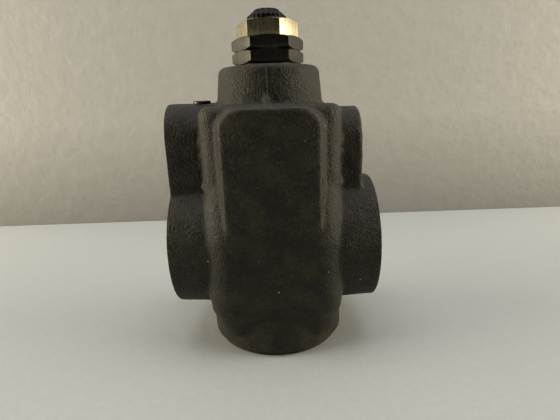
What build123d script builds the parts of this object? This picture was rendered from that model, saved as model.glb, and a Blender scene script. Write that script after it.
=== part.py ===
"""Pressure-compensated flow control valve, in-line, cast-iron body.

Millimetres, +Z up.  The origin is the centre of the foot, on the face that the
valve stands on.  The spool bore runs up Z, the two threaded ports face -X
(inlet) and +X (outlet), and the adjusting screw comes out of the neck on top.
"""
import os
from math import radians, sqrt, tan

from build123d import *

# ---------------------------------------------------------------- casting
FACE_SPAN = 100.0          # inlet face to outlet face
BARREL_R = 35.3            # upright barrel
FOOT_R = 33.4              # ground foot ring under the barrel
FOOT_H = 3.0
SHOULDER_Z = 121.0         # top of the barrel, where the neck starts
SHOULDER_ROUND = 5.0
NECK_H = 17.3
NECK_R_TOP = 24.5
NECK_R_BASE = 26.6
NECK_ROUND = 2.6
PORT_Z = 51.6              # height of both port axes
BOSS_R = 32.3              # port boss radius at its face
BOSS_DRAFT_DEG = 3.0
BOSS_EDGE = 1.4
LOBE_HALF_DEPTH = 16.5     # lobe above each port boss, half its thickness
LEFT_LOBE_TOP = 123.0
RIGHT_LOBE_TOP = 119.2
RIGHT_LOBE_SETBACK = 6.3   # the outlet lobe stops this short of the port face
LOBE_EDGE = 1.1
PANEL_HALF_W = 21.1        # raised flat pad on the front and back of the barrel
PANEL_PROUD = 1.9
PANEL_DRAFT_DEG = 21.0
PANEL_CROWN_R = 240.0       # the pad's face is slightly crowned from side to side
PANEL_TOP_DROP = 1.2
PANEL_ROUND = 9.0
COLUMN_HALF_W = 32.4       # squarer block between the lobes, up to the shoulder
COLUMN_HALF_D = 28.5
COLUMN_ROUND = 8.5
BELLY_HALF_W = 33.0        # fuller, round-cornered belly around the port passages
BELLY_HALF_D = 36.9
BELLY_ROUND = 13.0
BELLY_BELOW_PORT = 20.0
BELLY_ABOVE_PORT = 8.0
BELLY_RUN = 21.0           # height over which the belly dies into the barrel
BELLY_DRAFT_DEG = 17.0

# ---------------------------------------------------------------- machining
PORT_THREAD_R = 15.15      # G 1 tapping radius
PORT_THREAD_LEN = 20.0
PORT_CHAMFER = 1.5
PORT_PASSAGE_R = 13.5
MAIN_BORE_R = 15.0
PLUG_THREAD_R = 20.0       # closing plug thread in the foot
PLUG_BORE_DEPTH = 17.0
SMOOTH_BORE_R = 8.5        # neck bore that the screw's seal runs in
SCREW_R = 10.0             # M20 x 1.5 adjusting screw and its thread in the neck
SEAL_BORE_LEN = 12.0
SLEEVE_SHOULDER_DROP = 9.0   # sleeve's upper end below the shoulder
GAUGE_THREAD_R = 5.8       # G 1/4 gauge tapping
GAUGE_THREAD_LEN = 12.0
GAUGE_SPOT_R = 9.5         # counterbore that sinks the plug's head
GAUGE_SPOT_DEPTH = 4.6
GALLERY_R = 2.5
GALLERY_X = 33.8           # distance of the upright gallery from the axis
GALLERY_THREAD_R = 4.0
GALLERY_THREAD_LEN = 10.0
SENSE_X = 18.2             # upright sensing hole on the outlet side
SENSE_R = 1.3
DAMPER_R = 1.7
DAMPER_LEN = 5.0

# ---------------------------------------------------------------- fits
THREAD_GAP = 0.05          # radial gap left in each modelled thread
STATIC_GAP = 0.02          # sleeve in its bore
RUN_GAP = 0.03             # spools in the sleeve
SEAL_GAP = 0.03

# ---------------------------------------------------------------- moving parts
SPOOL_R = 11.0             # sleeve's inner bore
SPOOL_WALL = 2.5
SPOOL_STROKE = 5.0
SPOOL_REST_GAP = 0.3
WINDOW_H = 8.0
WINDOW_HALF_W = 6.0
SEAT_WEB = 3.0
SEAT_R = 6.0               # throttle orifice
THROTTLE_LIFT = 6.0
LAND_LEN = 16.0
STEM_R = 5.0
COLLAR_T = 3.0
COLLAR_R = 12.2
SPRING_CHAMBER_R = 13.0
BALL_R = 4.0

# ---------------------------------------------------------------- top stack
NUT_AF = 30.0
NUT_T = 5.8
WASHER_T = 1.4
WASHER_R = 14.2
HEAD_AF = 25.5
HEAD_H = 7.3
NUT_TURN_DEG = 4.0
HEAD_TURN_DEG = -6.0
CAP_RIM_R = 9.4
CAP_TOP_R = 4.8
CAP_H = 5.3
CAP_SPIGOT_R = 6.0
CAP_SPIGOT_LEN = 4.0
CAP_TEETH = 24

# ---------------------------------------------------------------- derived places
FACE_X = FACE_SPAN / 2
NECK_TOP_Z = SHOULDER_Z + NECK_H
PANEL_Y = BARREL_R + PANEL_PROUD
SLEEVE_TOP_Z = SHOULDER_Z - SLEEVE_SHOULDER_DROP
SLEEVE_FOOT_Z = PLUG_BORE_DEPTH + 6.0
SEAT_FOOT_Z = PORT_Z - SEAT_WEB / 2
SEAT_TOP_Z = PORT_Z + SEAT_WEB / 2
INLET_WINDOW_Z = SEAT_FOOT_Z - 2.0 - WINDOW_H / 2
OUTLET_WINDOW_Z = SEAT_TOP_Z + 2.0 + WINDOW_H / 2
SPOOL_TOP_Z = SEAT_FOOT_Z - SPOOL_REST_GAP
SPOOL_FOOT_Z = SLEEVE_FOOT_Z + SPOOL_STROKE + 0.4
SPOOL_WEB_TOP_Z = INLET_WINDOW_Z - WINDOW_H / 2 - 1.0
SPOOL_WEB_FOOT_Z = SPOOL_WEB_TOP_Z - 3.0
CHAMBER_FOOT_Z = SLEEVE_TOP_Z - 28.0
LAND_FOOT_Z = OUTLET_WINDOW_Z + WINDOW_H / 2 + THROTTLE_LIFT * 0.3
COLLAR_TOP_Z = SLEEVE_TOP_Z - THROTTLE_LIFT - 0.8
COLLAR_FOOT_Z = COLLAR_TOP_Z - COLLAR_T
STEM_TOP_Z = COLLAR_TOP_Z + 1.2
SCREW_FOOT_Z = STEM_TOP_Z + BALL_R * 0.75
SMOOTH_TOP_Z = SLEEVE_TOP_Z + SEAL_BORE_LEN
LOWER_NUT_Z = NECK_TOP_Z + WASHER_T
UPPER_NUT_Z = LOWER_NUT_Z + NUT_T
HEAD_Z = UPPER_NUT_Z + NUT_T
HEAD_TOP_Z = HEAD_Z + HEAD_H
LEFT_LOBE_CENTRE_Z = LEFT_LOBE_TOP - LOBE_HALF_DEPTH
RIGHT_LOBE_CENTRE_Z = RIGHT_LOBE_TOP - LOBE_HALF_DEPTH
GAUGE_Z = min(LEFT_LOBE_CENTRE_Z, RIGHT_LOBE_CENTRE_Z)
SPOTFACE_Z = LEFT_LOBE_TOP - 0.7

UP = (Align.CENTER, Align.CENTER, Align.MIN)
DOWN = (Align.CENTER, Align.CENTER, Align.MAX)


# ---------------------------------------------------------------- helpers
def rod(radius, z_low, z_high, x=0.0, y=0.0):
    """An upright round bar between two heights."""
    return Pos(x, y, z_low) * Cylinder(radius, z_high - z_low, align=UP)


def rod_x(radius, x_low, x_high, z, y=0.0):
    """A round bar along X between two stations."""
    return Pos(x_low, y, z) * Rot(0, 90, 0) * Cylinder(radius, x_high - x_low, align=UP)


def tube(outer, inner, z_low, z_high, x=0.0):
    return rod(outer, z_low, z_high, x) - rod(inner, z_low - 1, z_high + 1, x)


def cone(r_low, r_high, z_low, z_high):
    return Pos(0, 0, z_low) * Cone(r_low, r_high, z_high - z_low, align=UP)


def hexagon(across_flats, z_low, z_high, turn_deg, chamfer_low=True, chamfer_high=True):
    """A hexagon bar whose corners are turned down to a 30 degree chamfer."""
    corner_r = across_flats / sqrt(3)
    blank = extrude(RegularPolygon(corner_r, 6), z_high - z_low)
    blank = Pos(0, 0, z_low) * Rot(0, 0, turn_deg) * blank
    flat_r = across_flats / 2 * 0.97
    drop = (corner_r - flat_r) * tan(radians(30))
    envelope = rod(corner_r + 1, z_low, z_high)
    if chamfer_high:
        ring = rod(corner_r + 2, z_high - drop, z_high + 1)
        envelope -= ring - cone(corner_r, flat_r, z_high - drop, z_high) - rod(flat_r, z_high - drop, z_high + 2)
    if chamfer_low:
        ring = rod(corner_r + 2, z_low - 1, z_low + drop)
        envelope -= ring - cone(flat_r, corner_r, z_low, z_low + drop) - rod(flat_r, z_low - 2, z_low + drop)
    return blank & envelope


def o_ring(mean_r, section_r, z):
    """A ring of round section about Z."""
    return Pos(0, 0, z) * Torus(mean_r, section_r)


def coil_spring(mean_r, wire_r, z_low, z_high, turns):
    """An open helix of round wire standing between two faces."""
    end_room = wire_r * 1.15
    rise = z_high - z_low - 2 * end_room
    path = Helix(rise / turns, rise, mean_r)
    start = Plane(origin=path @ 0, z_dir=path % 0)
    wire = sweep(start * Circle(wire_r), path=path, is_frenet=True)
    return Pos(0, 0, z_low + end_room) * wire


def hex_socket(across_flats, z_low, z_high):
    return Pos(0, 0, z_low) * extrude(RegularPolygon(across_flats / sqrt(3), 6), z_high - z_low)


# ---------------------------------------------------------------- casting
def port_boss(side):
    """A drafted round boss from the axis out to one port face."""
    grow = FACE_X * tan(radians(BOSS_DRAFT_DEG))
    blank = Cone(BOSS_R + grow, BOSS_R, FACE_X, align=UP)
    blank = chamfer(blank.edges().group_by(Axis.Z)[-1], BOSS_EDGE)
    return Pos(0, 0, PORT_Z) * Rot(0, 90 * side, 0) * blank


def lobe(side, top_z, reach):
    """A flat-sided lobe with a round top that stands on a port boss."""
    centre_z = top_z - LOBE_HALF_DEPTH
    profile = Pos(0, centre_z) * Circle(LOBE_HALF_DEPTH)
    profile += Pos(0, (centre_z + PORT_Z) / 2) * Rectangle(2 * LOBE_HALF_DEPTH, centre_z - PORT_Z)
    blank = extrude(Plane.YZ * profile, reach)
    end_edges = blank.edges().group_by(Axis.X)[-1]
    blank = chamfer(end_edges, LOBE_EDGE)
    return blank if side > 0 else Rot(0, 0, 180) * blank


def panel():
    """The raised pads on the front and the back, each drafted and slightly crowned."""
    top_z = SHOULDER_Z - PANEL_TOP_DROP
    height = top_z - PORT_Z
    spread = PANEL_Y * tan(radians(PANEL_DRAFT_DEG))
    outlines = []
    for half_w, station_y in ((PANEL_HALF_W + spread, 0), (PANEL_HALF_W, -PANEL_Y)):
        outline = Rectangle(2 * half_w, height)
        outline = fillet(outline.vertices().group_by(Axis.Y)[-1], PANEL_ROUND)
        outlines.append(Pos(0, station_y, PORT_Z + height / 2) * Rot(90, 0, 0) * outline)
    crown = Pos(0, PANEL_CROWN_R - PANEL_Y, top_z) * Cylinder(PANEL_CROWN_R, 3 * height)
    half = loft(outlines) & crown
    return half + Rot(0, 0, 180) * half


def belly():
    """A round-cornered block at port height that tapers into the barrel above and below."""
    section = RectangleRounded(2 * BELLY_HALF_W, 2 * BELLY_HALF_D, BELLY_ROUND)
    low_z = PORT_Z - BELLY_BELOW_PORT
    high_z = PORT_Z + BELLY_ABOVE_PORT
    block = Pos(0, 0, low_z) * extrude(section, high_z - low_z)
    upper = Pos(0, 0, high_z) * extrude(section, BELLY_RUN, taper=BELLY_DRAFT_DEG)
    lower = Pos(0, 0, low_z) * Rot(180, 0, 0) * extrude(section, BELLY_RUN, taper=BELLY_DRAFT_DEG)
    return block + upper + lower


def column():
    """A round-cornered block from the belly's foot up to the shoulder."""
    section = RectangleRounded(2 * COLUMN_HALF_W, 2 * COLUMN_HALF_D, COLUMN_ROUND)
    low_z = PORT_Z - BELLY_BELOW_PORT
    block = Pos(0, 0, low_z) * extrude(section, SHOULDER_Z - low_z)
    return fillet(block.edges().group_by(Axis.Z)[-1], SHOULDER_ROUND)


def neck():
    blank = cone(NECK_R_BASE, NECK_R_TOP, SHOULDER_Z - 6, NECK_TOP_Z)
    return fillet(blank.edges().group_by(Axis.Z)[-1], NECK_ROUND)


def barrel():
    blank = rod(BARREL_R, FOOT_H, SHOULDER_Z)
    blank = fillet(blank.edges().group_by(Axis.Z)[-1], SHOULDER_ROUND)
    return blank + rod(FOOT_R, 0, FOOT_H + 1)


def upright_bores():
    """Everything bored up the axis from the foot and down from the neck."""
    cuts = rod(PLUG_THREAD_R, -1, PLUG_BORE_DEPTH)
    cuts += cone(PLUG_THREAD_R + 2.5, PLUG_THREAD_R - 0.5, -1, 2)
    cuts += rod(MAIN_BORE_R, 0, SLEEVE_TOP_Z)
    cuts += rod(SMOOTH_BORE_R, 0, NECK_TOP_Z)
    cuts += rod(SCREW_R, SMOOTH_TOP_Z, NECK_TOP_Z + 1)
    cuts += rod(RING_GROOVE_R, RING_FOOT_Z - 0.1, RING_FOOT_Z + RING_T + 0.1)
    return cuts


def port_cut(side):
    """One port: tapped length, lead-in chamfer and the passage to the sleeve."""
    tapped = Pos(0, 0, FACE_X - PORT_THREAD_LEN) * Cylinder(PORT_THREAD_R, PORT_THREAD_LEN + 1, align=UP)
    passage = Cylinder(PORT_PASSAGE_R, FACE_X, align=UP)
    mouth_r = PORT_THREAD_R + PORT_CHAMFER
    mouth = Pos(0, 0, FACE_X) * Cone(PORT_THREAD_R, mouth_r, PORT_CHAMFER, align=DOWN)
    return Pos(0, 0, PORT_Z) * Rot(0, 90 * side, 0) * (tapped + passage + mouth)


def gauge_cut(side, reach):
    """A gauge tapping in a lobe's end, spotfaced, with its drilling to the spool bore."""
    spot = Pos(0, 0, reach - GAUGE_SPOT_DEPTH) * Cylinder(GAUGE_SPOT_R, GAUGE_SPOT_DEPTH + 1, align=UP)
    tapped = Pos(0, 0, reach - GAUGE_THREAD_LEN) * Cylinder(GAUGE_THREAD_R, GAUGE_THREAD_LEN, align=UP)
    drilling = Cylinder(GALLERY_R, reach, align=UP)
    return Pos(0, 0, GAUGE_Z) * Rot(0, 90 * side, 0) * (spot + tapped + drilling)


def gallery_cut():
    """The upright gallery in the inlet lobe, from its plug down into the inlet port."""
    cut = rod(GALLERY_R, PORT_Z + PORT_THREAD_R - 3, SPOTFACE_Z + 2, -GALLERY_X)
    cut += rod(GALLERY_THREAD_R, SPOTFACE_Z - GALLERY_THREAD_LEN, SPOTFACE_Z + 2, -GALLERY_X)
    cut += rod(GALLERY_THREAD_R + 1.0, SPOTFACE_Z, SPOTFACE_Z + 3, -GALLERY_X)
    return cut


def sense_cut():
    """The sensing hole from the spring chamber up into the outlet passage."""
    cut = rod(SENSE_R, PLUG_BORE_DEPTH - 1, PORT_Z - PORT_PASSAGE_R + 3, SENSE_X)
    return cut + rod(DAMPER_R, PLUG_BORE_DEPTH - 1, PLUG_BORE_DEPTH + DAMPER_LEN, SENSE_X)


def valve_body():
    casting = barrel() + column() + panel() + belly()
    for side in (-1, 1):
        casting += port_boss(side)
    casting += lobe(-1, LEFT_LOBE_TOP, FACE_X)
    casting += lobe(1, RIGHT_LOBE_TOP, FACE_X - RIGHT_LOBE_SETBACK)
    casting += neck()
    casting -= upright_bores()
    for side in (-1, 1):
        casting -= port_cut(side)
    casting -= gauge_cut(-1, FACE_X)
    casting -= gauge_cut(1, FACE_X - RIGHT_LOBE_SETBACK)
    casting -= gallery_cut()
    casting -= sense_cut()
    return casting


# ---------------------------------------------------------------- closing plug
PLUG_FOOT_Z = 1.0
PLUG_TOP_Z = PLUG_BORE_DEPTH - 2.0
PLUG_SEAL_Z = 11.5
PLUG_SEAL_SECTION_R = 1.3
SPIGOT_R = 5.6
SPIGOT_H = 4.0
SHIM_T = 1.0
SHIM_R = 8.4
RING_T = 1.6
RING_FOOT_Z = SLEEVE_FOOT_Z - RING_T - 0.2
RING_GROOVE_R = MAIN_BORE_R + 0.9
RING_INNER_R = SPOOL_R - 1.6
PLUG_SOCKET_AF = 17.0
PLUG_SOCKET_DEPTH = 8.0


def groove(bore_r, seal_section_r, z_mid):
    """A seal groove turned into a shaft that runs in bore_r."""
    width = seal_section_r * 2 + 0.6
    floor_r = bore_r - seal_section_r * 2 - 2 * SEAL_GAP
    return tube(bore_r + 1, floor_r, z_mid - width / 2, z_mid + width / 2)


def bottom_plug():
    plug = rod(PLUG_THREAD_R - THREAD_GAP, PLUG_FOOT_Z, PLUG_TOP_Z)
    plug = chamfer(plug.edges().group_by(Axis.Z)[0], 1.0)
    plug += rod(SPIGOT_R, PLUG_TOP_Z, PLUG_TOP_Z + SPIGOT_H)
    plug -= hex_socket(PLUG_SOCKET_AF, PLUG_FOOT_Z - 1, PLUG_FOOT_Z + PLUG_SOCKET_DEPTH)
    return plug - groove(PLUG_THREAD_R, PLUG_SEAL_SECTION_R, PLUG_SEAL_Z)


def bottom_plug_seal():
    return o_ring(PLUG_THREAD_R - PLUG_SEAL_SECTION_R - SEAL_GAP, PLUG_SEAL_SECTION_R, PLUG_SEAL_Z)


def spring_shim():
    return tube(SHIM_R, SPIGOT_R + 0.2, PLUG_TOP_Z, PLUG_TOP_Z + SHIM_T)


def retaining_ring():
    """An internal circlip that keeps the sleeve up against its shoulder."""
    ring = tube(RING_GROOVE_R - 0.1, RING_INNER_R, RING_FOOT_Z, RING_FOOT_Z + RING_T)
    gap = Pos(0, RING_GROOVE_R, RING_FOOT_Z + RING_T / 2) * Box(7, 2 * (RING_GROOVE_R - RING_INNER_R) + 4, RING_T * 2)
    return ring - gap


# ---------------------------------------------------------------- sleeve and seals
SLEEVE_SEAL_SECTION_R = 1.1
SLEEVE_SEAL_LOW_Z = SLEEVE_FOOT_Z + 6.0
SLEEVE_SEAL_HIGH_Z = PORT_Z + PORT_PASSAGE_R + 8.0


def sleeve_window(side, z_mid):
    """Cutter for the milled window on one side of the sleeve."""
    return Pos(side * MAIN_BORE_R, 0, z_mid) * Box(2 * (MAIN_BORE_R - SPOOL_R) + 3, 2 * WINDOW_HALF_W, WINDOW_H)


def metering_sleeve():
    sleeve = rod(MAIN_BORE_R - STATIC_GAP, SLEEVE_FOOT_Z, SLEEVE_TOP_Z)
    sleeve -= rod(SPOOL_R, SLEEVE_FOOT_Z - 1, SEAT_FOOT_Z)
    sleeve -= rod(SEAT_R, SEAT_FOOT_Z - 1, SEAT_TOP_Z + 1)
    sleeve -= rod(SPOOL_R, SEAT_TOP_Z, SLEEVE_TOP_Z + 1)
    sleeve -= rod(SPRING_CHAMBER_R, CHAMBER_FOOT_Z, SLEEVE_TOP_Z + 1)
    sleeve -= sleeve_window(-1, INLET_WINDOW_Z)
    sleeve -= sleeve_window(1, OUTLET_WINDOW_Z)
    sleeve -= rod_x(GALLERY_R, -MAIN_BORE_R - 1, MAIN_BORE_R + 1, GAUGE_Z)
    for z_mid in (SLEEVE_SEAL_LOW_Z, SLEEVE_SEAL_HIGH_Z):
        sleeve -= groove(MAIN_BORE_R, SLEEVE_SEAL_SECTION_R, z_mid)
    return sleeve


def sleeve_seal(z_mid):
    return o_ring(MAIN_BORE_R - SLEEVE_SEAL_SECTION_R - SEAL_GAP, SLEEVE_SEAL_SECTION_R, z_mid)


# ---------------------------------------------------------------- compensator
def compensator_spool():
    """A hollow spool with a web; its cross holes meet the inlet window at rest."""
    outer_r = SPOOL_R - RUN_GAP
    inner_r = outer_r - SPOOL_WALL
    spool = rod(outer_r, SPOOL_FOOT_Z, SPOOL_TOP_Z)
    spool -= rod(inner_r, SPOOL_FOOT_Z - 1, SPOOL_WEB_FOOT_Z)
    spool -= rod(inner_r, SPOOL_WEB_TOP_Z, SPOOL_TOP_Z + 1)
    hole_r = (WINDOW_H - 2) / 2
    for turn in (0, 90):
        bar = Pos(0, 0, INLET_WINDOW_Z) * Rot(0, 90, turn) * Cylinder(hole_r, 4 * outer_r)
        spool -= bar
    for balance_z in (SPOOL_WEB_FOOT_Z - 3.0, SPOOL_WEB_FOOT_Z - 6.0):
        spool -= tube(outer_r + 1, outer_r - 0.5, balance_z - 0.4, balance_z + 0.4)
    return spool


def compensator_spring():
    return coil_spring(7.0, 0.9, PLUG_TOP_Z + SHIM_T, SPOOL_WEB_FOOT_Z, 5)


def damping_orifice():
    """A small grub screw with a fine drilling that slows the compensator."""
    low = PLUG_BORE_DEPTH + 0.2
    high = PLUG_BORE_DEPTH + DAMPER_LEN - 0.2
    return tube(DAMPER_R - THREAD_GAP, 0.5, low, high, SENSE_X)


# ---------------------------------------------------------------- throttle
NOSE_TIP_R = 3.2
NOSE_DROP = 2.2
CLIP_T = 1.0


def throttle_spool():
    """The nose seats in the orifice; the land guides it; the stem carries the spring collar."""
    land_r = SPOOL_R - RUN_GAP
    nose_top_r = SEAT_R + 0.8
    tip_z = SEAT_TOP_Z - NOSE_DROP
    slope = (nose_top_r - NOSE_TIP_R) / 4.5
    seat_z = tip_z + (SEAT_R - NOSE_TIP_R) / slope
    lift_clear = SEAT_TOP_Z - seat_z + 0.05
    spool = cone(NOSE_TIP_R, nose_top_r, tip_z + lift_clear, tip_z + lift_clear + 4.5)
    spool += rod(STEM_R, tip_z + lift_clear + 4, STEM_TOP_Z)
    spool += rod(land_r, LAND_FOOT_Z, LAND_FOOT_Z + LAND_LEN)
    spool -= tube(STEM_R + 1, STEM_R - 0.7, COLLAR_TOP_Z, COLLAR_TOP_Z + CLIP_T)
    ball_seat = Pos(0, 0, STEM_TOP_Z + BALL_R * 0.75) * Sphere(BALL_R)
    for turn_z in (LAND_FOOT_Z + 4.0, LAND_FOOT_Z + 8.0, LAND_FOOT_Z + 12.0):
        spool -= tube(land_r + 1, land_r - 0.5, turn_z - 0.4, turn_z + 0.4)
    return spool - ball_seat


def spring_collar():
    return tube(COLLAR_R, STEM_R + STATIC_GAP, COLLAR_FOOT_Z, COLLAR_TOP_Z)


def collar_clip():
    """A snap ring in the stem's groove, above the collar."""
    ring = tube(STEM_R + 1.4, STEM_R - 0.65, COLLAR_TOP_Z, COLLAR_TOP_Z + CLIP_T * 0.95)
    return ring - Pos(0, STEM_R + 1, COLLAR_TOP_Z) * Box(4, 6, CLIP_T * 3)


def throttle_spring():
    mean_r = (STEM_R + SPRING_CHAMBER_R) / 2 + 1.6
    return coil_spring(mean_r, 1.0, CHAMBER_FOOT_Z, COLLAR_FOOT_Z, 5)


def thrust_ball():
    return Pos(0, 0, STEM_TOP_Z + BALL_R * 0.75) * Sphere(BALL_R - 0.01)


# ---------------------------------------------------------------- adjusting screw
SCREW_SEAL_SECTION_R = 1.2
SCREW_SEAL_Z = SLEEVE_TOP_Z + 2.4
BACKUP_T = 1.2


def adjusting_screw():
    """Hex head, threaded shank through nuts and neck, smooth sealed end below."""
    smooth_r = SMOOTH_BORE_R - RUN_GAP
    screw = hexagon(HEAD_AF, HEAD_Z, HEAD_TOP_Z, HEAD_TURN_DEG, chamfer_low=False)
    screw += rod(SCREW_R - THREAD_GAP, SMOOTH_TOP_Z + 0.5, HEAD_Z + 1)
    screw += rod(smooth_r, SCREW_FOOT_Z, SMOOTH_TOP_Z + 1)
    width = 2 * SCREW_SEAL_SECTION_R + 0.4 + BACKUP_T
    floor_r = SMOOTH_BORE_R - 2 * SCREW_SEAL_SECTION_R - 2 * SEAL_GAP
    foot = SCREW_SEAL_Z - SCREW_SEAL_SECTION_R - 0.2
    screw -= tube(SMOOTH_BORE_R + 1, floor_r, foot, foot + width)
    ball_z = STEM_TOP_Z + BALL_R * 0.75
    screw -= Pos(0, 0, ball_z) * Sphere(BALL_R)
    screw -= rod(CAP_SPIGOT_R, HEAD_TOP_Z - CAP_SPIGOT_LEN - 0.5, HEAD_TOP_Z + 1)
    return screw


def screw_seal():
    return o_ring(SMOOTH_BORE_R - SCREW_SEAL_SECTION_R - SEAL_GAP, SCREW_SEAL_SECTION_R, SCREW_SEAL_Z)


def screw_backup_ring():
    low = SCREW_SEAL_Z + SCREW_SEAL_SECTION_R + 0.1
    inner = SMOOTH_BORE_R - 2 * SCREW_SEAL_SECTION_R
    return tube(SMOOTH_BORE_R - SEAL_GAP, inner, low, low + BACKUP_T - 0.1)


def adjuster_cap():
    """A domed plastic cap with a toothed rim, pushed into the screw head."""
    rim_h = CAP_H * 0.26
    rim = rod(CAP_RIM_R, HEAD_TOP_Z, HEAD_TOP_Z + rim_h)
    dome = cone(CAP_RIM_R - 0.3, CAP_TOP_R, HEAD_TOP_Z + rim_h, HEAD_TOP_Z + CAP_H)
    cap = rim + dome
    for tooth in range(CAP_TEETH):
        turn = 360 * tooth / CAP_TEETH
        slot = Pos(CAP_RIM_R + 0.25, 0, HEAD_TOP_Z + CAP_H / 2) * Box(1.2, 0.9, CAP_H + 2)
        cap -= Rot(0, 0, turn) * slot
    cap += rod(CAP_SPIGOT_R - THREAD_GAP, HEAD_TOP_Z - CAP_SPIGOT_LEN, HEAD_TOP_Z + 1)
    return cap


# ---------------------------------------------------------------- nuts, washer and small plugs
def lock_nut(z_low):
    nut = hexagon(NUT_AF, z_low, z_low + NUT_T, NUT_TURN_DEG)
    return nut - rod(SCREW_R, z_low - 1, z_low + NUT_T + 1)


def neck_washer():
    return tube(WASHER_R, SCREW_R + 0.2, NECK_TOP_Z, LOWER_NUT_Z)


def gallery_plug():
    """A small collared plug in the top of the inlet lobe."""
    collar = rod(GALLERY_THREAD_R + 0.4, SPOTFACE_Z, SPOTFACE_Z + 1.8, -GALLERY_X)
    shank = rod(GALLERY_THREAD_R - THREAD_GAP, SPOTFACE_Z - GALLERY_THREAD_LEN + 2, SPOTFACE_Z, -GALLERY_X)
    socket = Pos(-GALLERY_X, 0, 0) * hex_socket(4.0, SPOTFACE_Z - 1.5, SPOTFACE_Z + 3)
    return collar + shank - socket


GAUGE_WASHER_T = 1.0
GAUGE_HEAD_T = GAUGE_SPOT_DEPTH - GAUGE_WASHER_T - 0.4
GAUGE_HEAD_R = GAUGE_SPOT_R - 1.3


def gauge_plug(side, reach):
    """A collared hex-socket plug in a gauge tapping."""
    seat = reach - GAUGE_SPOT_DEPTH
    shank_low = reach - GAUGE_THREAD_LEN + 1.5
    shank = Pos(0, 0, shank_low) * Cylinder(GAUGE_THREAD_R - THREAD_GAP, seat + 1.2 - shank_low, align=UP)
    head = Pos(0, 0, seat + GAUGE_WASHER_T) * Cylinder(GAUGE_HEAD_R, GAUGE_HEAD_T, align=UP)
    head = chamfer(head.edges().group_by(Axis.Z)[-1], 0.5)
    socket = Pos(0, 0, seat - 3) * extrude(RegularPolygon(6.0 / sqrt(3), 6), GAUGE_HEAD_T + 8)
    return Pos(0, 0, GAUGE_Z) * Rot(0, 90 * side, 0) * (shank + head - socket)


def gauge_washer(side, reach):
    seat = reach - GAUGE_SPOT_DEPTH
    washer = Pos(0, 0, seat) * Cylinder(GAUGE_SPOT_R - 0.6, GAUGE_WASHER_T, align=UP)
    washer -= Pos(0, 0, seat - 1) * Cylinder(GAUGE_THREAD_R + 0.1, GAUGE_WASHER_T + 2, align=UP)
    return Pos(0, 0, GAUGE_Z) * Rot(0, 90 * side, 0) * washer


# ---------------------------------------------------------------- write every piece
def pieces():
    right_reach = FACE_X - RIGHT_LOBE_SETBACK
    return {
        "valve_body": valve_body(),
        "bottom_plug": bottom_plug(),
        "bottom_plug_seal": bottom_plug_seal(),
        "spring_shim": spring_shim(),
        "retaining_ring": retaining_ring(),
        "metering_sleeve": metering_sleeve(),
        "sleeve_seal_lower": sleeve_seal(SLEEVE_SEAL_LOW_Z),
        "sleeve_seal_upper": sleeve_seal(SLEEVE_SEAL_HIGH_Z),
        "compensator_spool": compensator_spool(),
        "compensator_spring": compensator_spring(),
        "damping_orifice": damping_orifice(),
        "throttle_spool": throttle_spool(),
        "spring_collar": spring_collar(),
        "collar_clip": collar_clip(),
        "throttle_spring": throttle_spring(),
        "thrust_ball": thrust_ball(),
        "adjusting_screw": adjusting_screw(),
        "screw_seal": screw_seal(),
        "screw_backup_ring": screw_backup_ring(),
        "adjuster_cap": adjuster_cap(),
        "neck_washer": neck_washer(),
        "lower_lock_nut": lock_nut(LOWER_NUT_Z),
        "upper_lock_nut": lock_nut(UPPER_NUT_Z),
        "gallery_plug": gallery_plug(),
        "inlet_gauge_plug": gauge_plug(-1, FACE_X),
        "inlet_gauge_washer": gauge_washer(-1, FACE_X),
        "outlet_gauge_plug": gauge_plug(1, right_reach),
        "outlet_gauge_washer": gauge_washer(1, right_reach),
    }


os.makedirs("parts", exist_ok=True)
for node, solid in pieces().items():
    export_step(solid, "parts/" + node + ".step")
    print(node)
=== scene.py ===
# %% [markdown]
# # A cast-iron flow control valve
# The valve is a rough iron casting with machined ports, a stack of nuts on its neck and a screw that
# sets the flow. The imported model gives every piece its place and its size. This lesson loads it as a
# fixed frame, models the pieces that show with the detail of the real ones, and gives each a finish.

# %% Load the frame
from math import atan2, cos, hypot, pi, radians, sin, sqrt, tan, tau

import bpy
import bmesh
from mathutils import Matrix, Vector


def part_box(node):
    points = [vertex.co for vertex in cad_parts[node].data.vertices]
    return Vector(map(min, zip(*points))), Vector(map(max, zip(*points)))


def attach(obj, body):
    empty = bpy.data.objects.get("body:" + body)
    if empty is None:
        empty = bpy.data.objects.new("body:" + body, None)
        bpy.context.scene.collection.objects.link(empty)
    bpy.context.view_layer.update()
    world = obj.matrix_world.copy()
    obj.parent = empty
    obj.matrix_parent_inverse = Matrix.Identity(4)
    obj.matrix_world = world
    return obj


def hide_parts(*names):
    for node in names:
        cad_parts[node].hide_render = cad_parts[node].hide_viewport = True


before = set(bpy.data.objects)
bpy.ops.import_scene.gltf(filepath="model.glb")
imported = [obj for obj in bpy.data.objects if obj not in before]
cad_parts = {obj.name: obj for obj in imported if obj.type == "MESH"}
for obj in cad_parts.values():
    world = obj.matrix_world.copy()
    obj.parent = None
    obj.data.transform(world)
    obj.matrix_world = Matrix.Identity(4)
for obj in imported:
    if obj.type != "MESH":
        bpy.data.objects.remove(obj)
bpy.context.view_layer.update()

scene = bpy.context.scene
MM = 0.001
print("pieces in the frame:", len(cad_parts))

# %% [markdown]
# ## Where things are
# The frame says where each piece lies, so heights and reaches are read from its boxes and turned into
# millimetres, the unit that a machinist would use for this valve.

# %% Read the places from the frame
def span(node, axis):
    """Lowest and highest station of a piece along an axis (0, 1 or 2), in millimetres."""
    low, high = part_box(node)
    return low[axis] / MM, high[axis] / MM


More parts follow.
